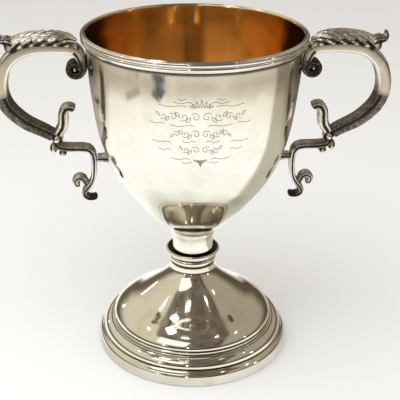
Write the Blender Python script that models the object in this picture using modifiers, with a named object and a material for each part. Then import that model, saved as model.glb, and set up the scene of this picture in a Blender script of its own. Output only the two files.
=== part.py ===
"""Two-handled silver presentation cup: spun bowl with an applied rim, spool neck, knop and stepped foot.

The cup stands on its foot ring with its axis on +Z. The handles lie along X and the front of the bowl faces -Y.
Lengths below are in millimetres and become metres where a mesh is made.
"""

import math

import bmesh
import bpy
import numpy as np

MM = 0.001
SOLDER_GAP = 0.3

# Driving dimensions
CUP_HEIGHT = 180.0
RIM_RADIUS = 57.8
LIP_RADIUS = 55.9
RIM_DEPTH = 7.0
BOWL_BASE_HEIGHT = 71.6
BOWL_WALL = 0.8
STEM_RADIUS = 12.2
STEM_BORE = 9.6
KNOP_RADIUS = 14.8
KNOP_BASE_HEIGHT = 49.3
FOOT_RADIUS = 53.1
DOME_EDGE_RADIUS = 45.0
DOME_EDGE_HEIGHT = 14.6
FOOT_WALL = 0.8
BASE_RING_HEIGHT = 8.3
STRAP_WIDTH = 10.0
LEAF_WIDTH = 13.0
LUG_WIDTH = 6.5

LARGE_STEPS = 40
SMALL_STEPS = 24

# Outer side of the bowl, from its base to the lip, as radius and height
BOWL_SIDE = (
    (14.5, BOWL_BASE_HEIGHT),
    (22.8, 79.0),
    (31.8, 90.0),
    (42.2, 105.0),
    (50.0, 126.0),
    (54.0, 155.0),
    (55.2, 171.0),
    (LIP_RADIUS, CUP_HEIGHT - 0.4),
)
# Outer side of the foot, from the stem to the dome's edge
DOME_SIDE = (
    (STEM_RADIUS, KNOP_BASE_HEIGHT - SOLDER_GAP),
    (13.0, 44.5),
    (18.5, 38.0),
    (30.0, 28.8),
    (41.0, 21.4),
    (44.6, 17.4),
    (DOME_EDGE_RADIUS, DOME_EDGE_HEIGHT),
)

# Handle centre lines in the handle's own plane, as distance from the cup's axis and height
VOLUTE_CENTRE = (60.9, 160.9)
VOLUTE_RADIUS = 4.5
ARCH_LINE = (
    (57.9, 166.6),
    (59.9, 169.8),
    (63.2, 171.5),
    (68.0, 172.0),
    (78.5, 172.0),
    (88.4, 169.6),
    (96.0, 162.4),
    (98.9, 151.0),
    (96.2, 140.8),
    (88.0, 132.3),
    (78.0, 126.9),
    (74.6, 125.0),
)
WAIST = (71.8, 122.6)
WAIST_RADIUS = 2.9
SPUR_LINE = (
    (70.6, 126.4),
    (68.7, 129.4),
    (68.1, 133.2),
    (67.9, 136.9),
    (66.5, 139.4),
    (64.1, 139.7),
    (62.0, 138.6),
)
LOWER_LINE = (
    (72.0, 117.5),
    (66.0, 117.5),
    (57.5, 117.2),
    (54.2, 115.3),
    (53.0, 111.0),
    (53.2, 103.0),
    (54.2, 98.6),
    (56.3, 95.2),
    (58.3, 92.6),
    (58.5, 90.2),
    (56.6, 88.6),
    (54.2, 88.4),
    (51.8, 89.1),
)
SIDE_VOLUTE_LINE = (
    (57.9, 96.9),
    (59.0, 99.4),
    (61.3, 100.3),
    (63.4, 98.7),
    (62.9, 96.3),
    (60.9, 96.2),
)
LEAF_TIP_LINE = ((94.8, 173.7), (97.5, 174.4), (98.9, 176.9), (98.3, 179.2))


def clear_scene():
    for old in list(bpy.data.objects):
        bpy.data.objects.remove(old, do_unlink=True)


def metal(name, colour, roughness):
    material = bpy.data.materials.new(name)
    material.use_nodes = True
    shader = material.node_tree.nodes["Principled BSDF"]
    shader.inputs["Base Color"].default_value = (*colour, 1.0)
    shader.inputs["Metallic"].default_value = 1.0
    shader.inputs["Roughness"].default_value = roughness
    return material


def smooth_path(points, count):
    """Evenly spaced points along the Catmull-Rom curve through the given ones."""
    given = np.array(points, float)
    ends = np.vstack([2 * given[0] - given[1], given, 2 * given[-1] - given[-2]])
    t = np.linspace(0, 1, 16, endpoint=False)[:, None]
    stretches = []
    for a, b, c, d in zip(ends, ends[1:], ends[2:], ends[3:]):
        cubic = (3 * b - a - 3 * c + d) * t**3
        stretches.append(0.5 * (2 * b + (c - a) * t + (2 * a - 5 * b + 4 * c - d) * t**2 + cubic))
    dense = np.vstack(stretches + [given[-1:]])
    steps = np.linalg.norm(np.diff(dense, axis=0), axis=1)
    run = np.concatenate([[0], np.cumsum(steps)])
    at = np.linspace(0, run[-1], count)
    return np.stack([np.interp(at, run, dense[:, axis]) for axis in (0, 1)], axis=1)


def normals_of(path):
    """Unit normals of a plane path, on the left of its direction."""
    along = np.gradient(path, axis=0)
    along /= np.linalg.norm(along, axis=1)[:, None]
    return np.stack([-along[:, 1], along[:, 0]], axis=1)


def arc(centre, radius, first, last, count):
    """Points on an arc, with its angles in degrees from the +X side."""
    angles = np.radians(np.linspace(first, last, count))
    ring = np.stack([np.cos(angles), np.sin(angles)], axis=1)
    return np.array(centre) + radius * ring


def bowl_radius(height):
    side = smooth_path(BOWL_SIDE, 40)
    return float(np.interp(height, side[:, 1], side[:, 0]))


def add_object(name, data, collection, parent):
    made = bpy.data.objects.new(name, data)
    collection.objects.link(made)
    made.parent = parent
    return made


def turned(name, outline, steps, material, collection, parent, wall=None):
    """A shape turned about Z. Its outline runs down the outer side, and closes on itself where wall is None."""
    count = len(outline)
    edges = [(k, k + 1) for k in range(count - 1)]
    if wall is None:
        edges.append((count - 1, 0))
    mesh = bpy.data.meshes.new(name)
    mesh.from_pydata([(r * MM, 0, z * MM) for r, z in outline], edges, [])
    mesh.materials.append(material)
    made = add_object(name, mesh, collection, parent)
    screw = made.modifiers.new("Turn", "SCREW")
    screw.steps = steps
    screw.render_steps = steps
    screw.use_merge_vertices = True
    screw.merge_threshold = 0.00001
    screw.use_smooth_shade = True
    if wall is not None:
        shell = made.modifiers.new("Wall", "SOLIDIFY")
        shell.thickness = wall * MM
        shell.offset = -1
        shell.use_even_offset = True
    return made


def oval_section(sides=10, squareness=0.6):
    """Unit section of a strap, as (across the strap, along its width)."""
    angles = [2 * math.pi * k / sides for k in range(sides)]
    return [
        (
            math.copysign(abs(math.cos(a)) ** squareness, math.cos(a)),
            math.copysign(abs(math.sin(a)) ** squareness, math.sin(a)),
        )
        for a in angles
    ]


def leaf_section():
    """Unit section of the leaf: flat against the strap and domed outside."""
    return [(0, -1), (0.55, -0.95), (0.92, -0.6), (1.0, 0), (0.92, 0.6), (0.55, 0.95), (0, 1), (0, 0)]


def loft_mesh(name, path, depths, widths, section, material):
    """A solid lofted along a path in the XZ plane, with its depth and width changing along the way."""
    mesh = bpy.data.meshes.new(name)
    bm = bmesh.new()
    rings = []
    for point, normal, depth, width in zip(path, normals_of(path), depths, widths):
        ring = []
        for across, sideways in section:
            x, z = point + normal * across * depth / 2
            ring.append(bm.verts.new((x * MM, sideways * width / 2 * MM, z * MM)))
        rings.append(ring)
    for near, far in zip(rings, rings[1:]):
        for k in range(len(section)):
            after = (k + 1) % len(section)
            bm.faces.new((near[k], near[after], far[after], far[k]))
    bm.faces.new(rings[0])
    bm.faces.new(reversed(rings[-1]))
    bmesh.ops.recalc_face_normals(bm, faces=bm.faces)
    bm.to_mesh(mesh)
    bm.free()
    mesh.materials.append(material)
    mesh.shade_smooth()
    mesh.set_sharp_from_angle(angle=math.radians(50))
    return mesh


def along(count, *values):
    """Values spread evenly along a path of count points."""
    return np.interp(np.linspace(0, 1, count), np.linspace(0, 1, len(values)), values)


def drop_mesh(name, radii, material):
    """A small rounded drop with the given half sizes along X, Y and Z."""
    mesh = bpy.data.meshes.new(name)
    bm = bmesh.new()
    bmesh.ops.create_uvsphere(bm, u_segments=10, v_segments=6, radius=1)
    bmesh.ops.scale(bm, vec=[r * MM for r in radii], verts=bm.verts)
    bm.to_mesh(mesh)
    bm.free()
    mesh.materials.append(material)
    mesh.shade_smooth()
    return mesh


def arch_path():
    """The strap from above the volute, over the arch and down to the waist, and its depth along the way."""
    return smooth_path(ARCH_LINE, 26), along(26, 3.6, 5.6, 6.4, 6.6, 6.6, 5.4, 4.6, 4.2)


def main_scroll(material):
    """The C-scroll: a curl that opens out into the arched strap."""
    curl = arc(VOLUTE_CENTRE, VOLUTE_RADIUS, 455, 150, 13)
    curl = VOLUTE_CENTRE + (curl - VOLUTE_CENTRE) * np.linspace(0.5, 1, 13)[:, None]
    arch, arch_depths = arch_path()
    path = np.vstack([curl, arch])
    depths = np.concatenate([np.linspace(1.9, 3.0, len(curl)), arch_depths])
    widths = along(len(path), 8.5, 9.5, STRAP_WIDTH, STRAP_WIDTH, 9.5, 8.6, 7.6)
    return loft_mesh("main_scroll", path, depths, widths, oval_section(), material)


def acanthus_leaf(material):
    """The leaf lies on the arch's outer side, and its tip curls up off the strap."""
    arch, depths = arch_path()
    raised = arch + normals_of(arch) * (depths[:, None] / 2 + SOLDER_GAP)
    on_strap = [point for point in raised if 61.0 < point[0] < 93.0 and point[1] > 160.0]
    line = smooth_path([*on_strap, *LEAF_TIP_LINE], 17)
    depths = along(17, 3.6, 6.8, 8.0, 8.2, 8.2, 8.4, 8.6, 6.0, 1.6)
    widths = along(17, 7.5, 11.5, LEAF_WIDTH, LEAF_WIDTH, LEAF_WIDTH, 12.4, 10.5, 8.0, 3.4)
    return loft_mesh("acanthus_leaf", line, depths, widths, leaf_section(), material)


def spur_scroll(material):
    path = smooth_path(SPUR_LINE, 11)
    return loft_mesh(
        "spur_scroll", path, along(11, 4.0, 4.8, 4.6, 3.6, 2.4), along(11, 7.0, 8.0, 7.5, 6.5), oval_section(8), material
    )


def lower_scroll(material):
    path = smooth_path(LOWER_LINE, 26)
    depths = along(26, 3.2, 3.3, 3.2, 3.0, 3.0, 2.6, 2.0)
    widths = along(26, 7.5, 8.0, 8.0, 7.5, 7.0, 6.5, 5.5)
    return loft_mesh("lower_scroll", path, depths, widths, oval_section(8), material)


def side_volute(material):
    path = smooth_path(SIDE_VOLUTE_LINE, 10)
    return loft_mesh(
        "side_volute", path, along(10, 2.0, 2.2, 2.2, 1.6), along(10, 5.5, 6.5, 6.0, 5.0), oval_section(8), material
    )


def wall_lug(material):
    """A flared lug whose inner end follows the bowl's slope."""
    foot, head, outer_end = 108.6, 113.9, 51.1
    waist = (foot + head) / 2
    outline = [
        (bowl_radius(foot) + SOLDER_GAP, foot),
        (48.8, foot + 0.9),
        (outer_end, foot + 0.7),
        (outer_end, head - 0.7),
        (49.2, head - 0.9),
        (bowl_radius(head) + SOLDER_GAP, head),
        (bowl_radius(waist) + SOLDER_GAP + 0.1, waist),
    ]
    curve = bpy.data.curves.new("wall_lug", "CURVE")
    curve.dimensions = "2D"
    curve.fill_mode = "BOTH"
    curve.extrude = LUG_WIDTH / 2 * MM
    spline = curve.splines.new("POLY")
    spline.points.add(len(outline) - 1)
    for point, (x, z) in zip(spline.points, outline):
        point.co = (x * MM, z * MM, 0, 1)
    spline.use_cyclic_u = True
    curve.materials.append(material)
    return curve


def build_handle(side, angle, shapes, collection, cup):
    """One handle: every piece hangs on an empty that faces it away from the bowl."""
    frame = bpy.data.objects.new(f"{side}_handle", None)
    collection.objects.link(frame)
    frame.parent = cup
    frame.rotation_euler.z = angle
    places = {
        "waist_bead": WAIST,
        "inner_leaflet": (69.2, 114.2),
        "outer_leaflet": (74.1, 117.2),
    }
    for piece, data in shapes.items():
        made = add_object(f"{side}_{piece}", data, collection, frame)
        if piece in places:
            x, z = places[piece]
            made.location = (x * MM, 0, z * MM)
        if piece == "wall_lug":
            made.rotation_euler.x = math.pi / 2


def build_bowl(collection, cup):
    side = smooth_path(BOWL_SIDE, 13)[::-1]
    silver = metal("bowl_silver", (0.93, 0.91, 0.87), 0.12)
    turned("bowl", [*side, (0, BOWL_BASE_HEIGHT)], LARGE_STEPS, silver, collection, cup, BOWL_WALL)


def build_rim(collection, cup):
    """A reeded moulding outside the lip: a broad upper bead over a small lower one."""
    top, foot = CUP_HEIGHT, CUP_HEIGHT - RIM_DEPTH
    inner = LIP_RADIUS + SOLDER_GAP
    outline = [
        (inner, top - 0.2),
        (inner + 0.8, top),
        (RIM_RADIUS, top - 1.0),
        (RIM_RADIUS, top - 2.4),
        (RIM_RADIUS - 0.7, top - 3.2),
        (RIM_RADIUS - 0.2, top - 4.2),
        (RIM_RADIUS - 0.4, top - 5.4),
        (RIM_RADIUS - 1.3, foot),
        (inner - 0.3, foot),
    ]
    silver = metal("rim_silver", (0.94, 0.92, 0.88), 0.1)
    turned("rim_moulding", outline, LARGE_STEPS, silver, collection, cup)


def build_neck(collection, cup):
    """A hollow spool: a bead under the bowl, a straight waist and a flared end in the knop's dish."""
    top = BOWL_BASE_HEIGHT - SOLDER_GAP
    outline = [
        (STEM_BORE, top),
        (12.9, top),
        (12.9, top - 1.3),
        (11.9, top - 2.6),
        (11.4, top - 6.0),
        (11.2, top - 10.5),
        (11.5, top - 13.4),
        (10.9, top - 14.8),
        (STEM_BORE, top - 14.8),
    ]
    turned("neck_spool", outline, SMALL_STEPS, metal("neck_silver", (0.9, 0.88, 0.84), 0.14), collection, cup)


def build_knop(collection, cup):
    """A dished flange over a plain bead, both bored right through."""
    base = KNOP_BASE_HEIGHT
    dish = [
        (STEM_BORE, base + 6.9),
        (11.4, base + 6.9),
        (13.2, base + 6.7),
        (14.1, base + 7.7),
        (KNOP_RADIUS, base + 7.2),
        (KNOP_RADIUS, base + 6.0),
        (13.7, base + 4.8),
        (12.4, base + 4.2),
        (STEM_BORE, base + 4.2),
    ]
    bead_top = base + 4.2 - SOLDER_GAP
    bead = [(STEM_BORE, bead_top), *arc((11.0, base + 1.95), 1.95, 90, -90, 6), (STEM_BORE, base)]
    silver = metal("knop_silver", (0.9, 0.88, 0.84), 0.14)
    turned("knop_dish", dish, SMALL_STEPS, silver, collection, cup)
    turned("knop_bead", bead, SMALL_STEPS, silver, collection, cup)


def build_foot(collection, cup):
    """A spun dome on two rings: a quarter-round step, then the upright ring that the cup stands on."""
    silver = metal("foot_silver", (0.9, 0.88, 0.84), 0.14)
    turned("foot_dome", smooth_path(DOME_SIDE, 12), LARGE_STEPS, silver, collection, cup, FOOT_WALL)

    step_top = DOME_EDGE_HEIGHT - SOLDER_GAP
    step_foot = BASE_RING_HEIGHT + SOLDER_GAP
    shoulder = arc((45.6, step_foot + 0.4), 4.9, 88, 8, 5)
    step = [(43.4, step_top), (45.2, step_top), *shoulder, (50.4, step_foot), (47.6, step_foot), (46.0, 11.4)]
    turned("foot_ovolo_ring", step, LARGE_STEPS, silver, collection, cup)

    ring = [
        (47.8, BASE_RING_HEIGHT),
        (50.9, BASE_RING_HEIGHT),
        (52.5, 7.2),
        (FOOT_RADIUS, 5.4),
        (FOOT_RADIUS, 0.7),
        (FOOT_RADIUS - 0.5, 0),
        (50.2, 0),
        (50.2, 6.0),
    ]
    turned("foot_base_ring", ring, LARGE_STEPS, silver, collection, cup)


def main():
    clear_scene()
    collection = bpy.data.collections.new("presentation_cup")
    bpy.context.scene.collection.children.link(collection)
    cup = bpy.data.objects.new("cup_origin", None)
    collection.objects.link(cup)

    build_foot(collection, cup)
    build_knop(collection, cup)
    build_neck(collection, cup)
    build_bowl(collection, cup)
    build_rim(collection, cup)

    strap = metal("handle_silver", (0.86, 0.84, 0.8), 0.18)
    chased = metal("chased_silver", (0.8, 0.78, 0.74), 0.24)
    shapes = {
        "main_scroll": main_scroll(strap),
        "acanthus_leaf": acanthus_leaf(chased),
        "spur_scroll": spur_scroll(chased),
        "waist_bead": drop_mesh("waist_bead", (WAIST_RADIUS, 4.2, WAIST_RADIUS), chased),
        "inner_leaflet": drop_mesh("inner_leaflet", (1.7, 3.2, 1.3), chased),
        "outer_leaflet": drop_mesh("outer_leaflet", (1.6, 3.2, 2.2), chased),
        "lower_scroll": lower_scroll(strap),
        "side_volute": side_volute(chased),
        "wall_lug": wall_lug(strap),
    }
    build_handle("right", 0, shapes, collection, cup)
    build_handle("left", math.pi, shapes, collection, cup)


main()
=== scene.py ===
"""Look of the two-handled silver presentation cup: sterling outside, gilt inside, cast and chased handles.

Lengths are in millimetres until a mesh is made. The cup's axis is +Z and the front of its bowl faces -Y.
"""

import math

import bmesh
import bpy
import numpy as np
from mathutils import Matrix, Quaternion, Vector


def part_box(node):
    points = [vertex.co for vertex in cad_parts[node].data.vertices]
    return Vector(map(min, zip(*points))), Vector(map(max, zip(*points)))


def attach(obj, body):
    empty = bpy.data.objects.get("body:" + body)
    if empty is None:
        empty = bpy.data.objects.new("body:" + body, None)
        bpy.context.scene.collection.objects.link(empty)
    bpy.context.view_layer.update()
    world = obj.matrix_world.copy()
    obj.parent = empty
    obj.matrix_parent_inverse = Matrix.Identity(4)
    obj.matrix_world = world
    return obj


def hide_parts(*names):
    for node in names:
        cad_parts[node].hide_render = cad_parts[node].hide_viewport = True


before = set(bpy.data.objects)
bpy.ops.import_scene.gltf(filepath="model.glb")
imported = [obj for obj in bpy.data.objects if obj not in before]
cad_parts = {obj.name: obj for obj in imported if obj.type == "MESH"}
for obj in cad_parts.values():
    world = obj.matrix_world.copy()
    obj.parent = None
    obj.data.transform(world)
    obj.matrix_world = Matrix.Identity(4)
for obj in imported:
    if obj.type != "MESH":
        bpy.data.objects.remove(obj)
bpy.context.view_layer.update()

MM = 0.001
TURN_STEPS = 224
SMALL_TURN_STEPS = 128
SOLDER_GAP = 0.3
WALL_POINTS, ARCH_POINTS, STRAP_POINTS, COIL_POINTS, LEAF_POINTS = 150, 170, 280, 90, 110
COIL_SHARE = 0.19

# Heights of the soldered joints, read from the solid pieces
CUP_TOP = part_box("rim_moulding")[1].z / MM
BOWL_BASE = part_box("bowl")[0].z / MM
NECK_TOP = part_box("neck_spool")[1].z / MM
BEAD_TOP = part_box("knop_bead")[1].z / MM
BEAD_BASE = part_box("knop_bead")[0].z / MM
DOME_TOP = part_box("foot_dome")[1].z / MM
OVOLO_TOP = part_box("foot_ovolo_ring")[1].z / MM
BASE_RING_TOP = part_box("foot_base_ring")[1].z / MM
FOOT_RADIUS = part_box("foot_base_ring")[1].x / MM

LIP_RADIUS = 55.9
BOWL_WALL = 0.8
STEM_BORE = 9.6
FOOT_WALL = 0.8

BOWL_SIDE = (
    (14.5, BOWL_BASE),
    (22.8, 79.0),
    (31.8, 90.0),
    (42.2, 105.0),
    (50.0, 126.0),
    (54.0, 155.0),
    (55.2, 171.0),
    (LIP_RADIUS, CUP_TOP - 0.4),
)
DOME_SIDE = (
    *((12.2, DOME_TOP), (13.0, 44.5), (18.5, 38.0), (29.5, 29.2)),
    *((37.0, 24.6), (41.3, 21.6), (43.7, 19.2), (44.5, 17.7)),
)

# Handle centre lines, as distance from the cup's axis and height
VOLUTE_CENTRE = (60.9, 160.9)
VOLUTE_RADIUS = 4.5
VOLUTE_TURNS = 1.2
ARCH_LINE = (
    (57.9, 166.6),
    (59.9, 169.8),
    (63.2, 171.5),
    (68.0, 172.0),
    (78.5, 172.0),
    (88.4, 169.6),
    (96.0, 162.4),
    (98.9, 151.0),
    (96.2, 140.8),
    (88.0, 132.3),
    (78.0, 126.9),
    (74.6, 124.9),
    (72.6, 123.4),
)
ARCH_DEPTHS = (4.6, 6.2, 6.6, 6.8, 7.0, 7.0, 6.6, 5.8)
LEAF_TIP_LINE = ((94.8, 173.9), (97.4, 174.8), (98.7, 177.0), (98.1, 179.3))
WAIST = (71.8, 122.6)
SPUR_LINE = (
    *((71.4, 124.4), (70.3, 126.8), (68.7, 129.4), (68.1, 133.2)),
    *((67.9, 136.9), (66.5, 139.4), (64.1, 139.7), (62.0, 138.6)),
)
LOWER_LINE = (
    (72.8, 120.6),
    (71.0, 118.4),
    (66.0, 117.5),
    (57.5, 117.2),
    (54.2, 115.3),
    (53.0, 111.0),
    (53.2, 103.0),
    (54.2, 98.6),
    (56.3, 95.2),
    (58.3, 92.6),
    (58.5, 90.2),
    (56.6, 88.6),
    (54.2, 88.4),
    (51.8, 89.1),
)
SIDE_VOLUTE_LINE = ((56.9, 95.6), (57.8, 97.2), (59.0, 99.4), (61.3, 100.3), (63.4, 98.7), (62.9, 96.3), (60.9, 96.2))

LEAF_HALF_WIDTH = 6.4
LEAF_CROWN = 3.4
LEAF_LENGTH = 42.0
# How far the leaf wraps down the strap's sides, its inner half width there, and how sharply its crown falls away
LEAF_WRAP = 2.2
STRAP_CLEARANCE = 5.35
CROWN_POWER = 2.4
BLADES_PER_SIDE = 5
BLADE_PITCH = 5.8
BLADE_LENGTH = 17.5
BLADE_WIDTH = 3.1
BLADE_HEIGHT = 0.8
BLADE_SWEEP = 17.0
# Cast straps: name, line, points, depths, widths, oxide, groove, share rounded at each end, sides and solid piece
CAST_STRAPS = (
    (
        *("spur", SPUR_LINE, 90, (5.0, 5.6, 5.4, 4.6, 3.4), (7.4, 8.2, 8.0, 7.2)),
        *((0.4, 0.15, 0.1, 0.35, 0.5), 0.7, 0.05, 40, "spur_scroll"),
    ),
    (
        *("lower_strap", LOWER_LINE, 220, (3.2, 3.4, 3.3, 3.0, 3.0, 2.9, 2.4), (7.6, 8.0, 8.0, 7.5, 7.0, 6.8, 6.0)),
        *((0.5, 0.45, 0.4, 0.3, 0.2, 0.4, 0.8), 0.45, 0.02, 40, "lower_scroll"),
    ),
    (
        *("curl", SIDE_VOLUTE_LINE, 80, (2.8, 3.1, 3.1, 2.9), (5.8, 6.8, 6.6, 6.0)),
        *((0.5, 0.45, 0.3, 0.2), 0.3, 0.05, 36, "side_volute"),
    ),
)
# The small drops: name, centre, half sizes, how much fuller the foot is, and the solid pieces each stands for
DROPS = (
    ("volute_eye", VOLUTE_CENTRE, (1.9, 5.4, 1.9), 0, ()),
    ("waist_knot", WAIST, (3.0, 4.2, 3.0), 0, ("waist_bead",)),
    ("inner_drop", (69.2, 114.6), (2.0, 3.3, 1.8), 0.25, ("inner_leaflet",)),
    ("outer_drop", (73.9, 117.4), (1.9, 3.3, 2.8), 0.25, ("outer_leaflet",)),
)
LUG_LOW, LUG_HIGH = 108.6, 113.9

# The engraving: rows of scrolls as height, half length and size, then strokes as height, first and last distance
ENGRAVED_LINE = 0.46
SCROLL_ROWS = ((152.8, 20.5, 2.5), (144.0, 14.5, 2.2), (135.6, 10.0, 2.2))
FANS = ((157.6, 1), (130.2, -1))
FLOURISHES = (
    (160.0, 4.5, 13.0),
    (161.6, 7.0, 11.0),
    (158.2, 7.0, 20.0),
    (148.3, 3.0, 15.0),
    (149.0, 17.0, 24.0),
    (140.0, 2.5, 9.0),
    (139.4, 14.0, 23.0),
    (135.4, 14.0, 20.0),
    (130.6, 5.0, 14.0),
    (128.6, 4.0, 9.0),
)

# Metres and degrees from here, but for the lens. Each lamp is azimuth, elevation, width and height
LAMP_DISTANCE = 0.9
LAMPS = (
    (-22, 70, 0.12, 0.022),
    (-74, 70, 0.13, 0.10),
    (-96, 51, 0.05, 0.03),
    (55, 62, 0.05, 0.025),
    (82, 48, 0.04, 0.03),
    (74, 18, 0.03, 0.10),
    (-9, 18, 0.03, 0.10),
    (-41, 13, 0.03, 0.10),
    (-140, 16, 0.035, 0.04),
    (-150, 62, 0.16, 0.05),
)
# Cloths on the table: name, colour, place and size
CLOTHS = (
    ("slate cloth", "#565B66", -0.25, -0.305, (0.075, 0.085)),
    ("brown cloth", "#B3A693", -0.35, -0.14, (0.05, 0.13)),
)
# The table's tone at each distance from the cup, as painted light and shade: darker nearest the foot as the
# cup's shadow, then brightest, then creamier and dimmer further out
TABLE_TONES = (
    (0.085, "#C4C1B6"),
    (0.13, "#FAFBF6"),
    (0.20, "#FFFFFF"),
    (0.31, "#FFFFF9"),
    (0.38, "#F0EADF"),
    (0.44, "#CFC6B8"),
    (0.50, "#B2A899"),
    (0.62, "#AFA596"),
    (0.76, "#6E6457"),
)
LENS_MM = 83.8
CAMERA_PLACE = (-0.0293, -0.4591, 0.3027)
CAMERA_TURN, CAMERA_DOWN, CAMERA_ROLL = 4.1, 24.69, 0.77


# Colours and nodes

SMOOTH = {"interpolation_type": "SMOOTHSTEP"}
IN_COLOUR = {"data_type": "RGBA"}


def linear(hex_code, alpha=1.0):
    """An sRGB hex colour as linear RGBA."""
    channels = [int(hex_code[k : k + 2], 16) / 255 for k in (1, 3, 5)]
    return (*[c / 12.92 if c <= 0.04045 else ((c + 0.055) / 1.055) ** 2.4 for c in channels], alpha)


def add_node(tree, kind, inputs=None, settings=None):
    """A node with its settings and inputs. An input takes a value, a socket, or a node for its first output.

    A kind without "Node" in it is a shader node, and settings given as plain text are the operation.
    """
    node = tree.nodes.new(kind if "Node" in kind else "ShaderNode" + kind)
    if isinstance(settings, str):
        settings = {"operation": settings}
    for name, value in (settings or {}).items():
        setattr(node, name, value)
    for name, value in (inputs or {}).items():
        if isinstance(value, bpy.types.Node):
            value = value.outputs[0]
        if isinstance(value, bpy.types.NodeSocket):
            tree.links.new(value, node.inputs[name])
        else:
            node.inputs[name].default_value = value
    return node


def placed(name, data):
    """An object with this data, linked into the scene."""
    made = bpy.data.objects.new(name, data)
    bpy.context.scene.collection.objects.link(made)
    return made


def blank_material(name):
    """A material with an empty node tree, and the tree."""
    material = bpy.data.materials.new(name)
    material.use_nodes = True
    material.node_tree.nodes.clear()
    return material, material.node_tree


def scratch_layer(tree, place, turn, spacing, length, share):
    """Fine straight scratches that run one way: 1 on a scratch and 0 between them."""
    turned_place = add_node(
        tree,
        "Mapping",
        {"Vector": place, "Rotation": turn, "Scale": (1000 / length, 1000 / spacing, 1000 / length)},
    )
    streaks = add_node(tree, "TexNoise", {"Vector": turned_place, "Scale": 1.0, "Detail": 1.0})
    return add_node(
        tree, "MapRange", {"Value": streaks, "From Min": 1 - share, "From Max": 1 - share + 0.06}, SMOOTH
    )


def silver_material(name, bright, film, oxide_and_shade, polish, haze, wobble, soil, lathe=False):
    """Sterling silver. bright is the clean metal, film its thin tarnish, and the third colour the dark oxide left in
    the hollows, which also serves as painted shade under the rim moulding and on the leaf's blades and flutes.

    polish is the roughness of the clean metal, haze what wear adds, wobble the depth in millimetres of the hand
    polisher's waves, and soil how far the oxide and painted shade spread out of the hollows. lathe adds the
    spinner's fine rings.
    """
    material, tree = blank_material(name)
    place = add_node(tree, "TexCoord").outputs["Object"]
    hollow = add_node(tree, "Attribute", None, {"attribute_name": "oxide_and_shade"}).outputs["Fac"]

    clouds = add_node(tree, "TexNoise", {"Vector": place, "Scale": 1000 / 14, "Detail": 5.0, "Roughness": 0.6})
    grime = add_node(tree, "TexNoise", {"Vector": place, "Scale": 1000 / 1.6, "Detail": 3.0, "Roughness": 0.7})
    waves = add_node(tree, "TexNoise", {"Vector": place, "Scale": 1000 / 22, "Detail": 1.0})

    # Drawn about twice as wide as real handling scratches, which would be too fine to show
    lines = [
        scratch_layer(tree, place, (0.3, 0.2, 0.5), 0.28, 9.0, 0.34),
        scratch_layer(tree, place, (1.2, 0.7, -0.9), 0.32, 6.0, 0.33),
        scratch_layer(tree, place, (0.1, 1.4, 2.1), 0.24, 13.0, 0.34),
    ]
    first_two = add_node(tree, "Math", {0: lines[0], 1: lines[1]}, "MAXIMUM")
    scratches = add_node(tree, "Math", {0: first_two, 1: lines[2]}, "MAXIMUM")

    filmed = add_node(tree, "MapRange", {"Value": clouds, "From Min": 0.45, "From Max": 0.78}, SMOOTH)
    metal = add_node(tree, "Mix", {0: filmed, 6: linear(bright), 7: linear(film)}, IN_COLOUR).outputs[2]
    # Where the meshes mark it, the dark colour mixed in here is painted shade as well as oxide
    grimy = add_node(tree, "Math", {0: grime, 1: soil, 2: -soil * 0.45}, "MULTIPLY_ADD")
    deep = add_node(tree, "Math", {0: hollow, 1: 1.0 + soil, 2: grimy}, "MULTIPLY_ADD")
    oxide = add_node(tree, "MapRange", {"Value": deep, "From Min": 0.3, "From Max": 1.15}, SMOOTH)
    colour = add_node(tree, "Mix", {0: oxide, 6: metal, 7: linear(oxide_and_shade)}, IN_COLOUR).outputs[2]

    worn = add_node(
        tree,
        "MapRange",
        {"Value": clouds, "From Min": 0.3, "From Max": 0.7, "To Min": polish, "To Max": polish + haze},
    )
    scratched = add_node(tree, "Math", {0: scratches, 1: haze * 1.5, 2: worn}, "MULTIPLY_ADD")
    rough = add_node(
        tree, "Math", {0: oxide, 1: 0.3, 2: scratched}, {"operation": "MULTIPLY_ADD", "use_clamp": True}
    )

    height = add_node(tree, "Bump", {"Strength": 1.0, "Distance": wobble * MM, "Height": waves})
    height = add_node(
        tree,
        "Bump",
        {"Strength": 0.35, "Distance": 0.004 * MM, "Height": scratches, "Normal": height},
        {"invert": True},
    )
    if lathe:
        rings_place = add_node(tree, "Mapping", {"Vector": place, "Scale": (12, 12, 1000 / 0.5)})
        rings = add_node(tree, "TexNoise", {"Vector": rings_place, "Scale": 1.0, "Detail": 2.0})
        height = add_node(
            tree, "Bump", {"Strength": 0.5, "Distance": 0.0015 * MM, "Height": rings, "Normal": height}
        )
    shader = add_node(
        tree, "BsdfPrincipled", {"Base Color": colour, "Metallic": 1.0, "Roughness": rough, "Normal": height}
    )
    add_node(tree, "OutputMaterial", {"Surface": shader})
    return material


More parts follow.
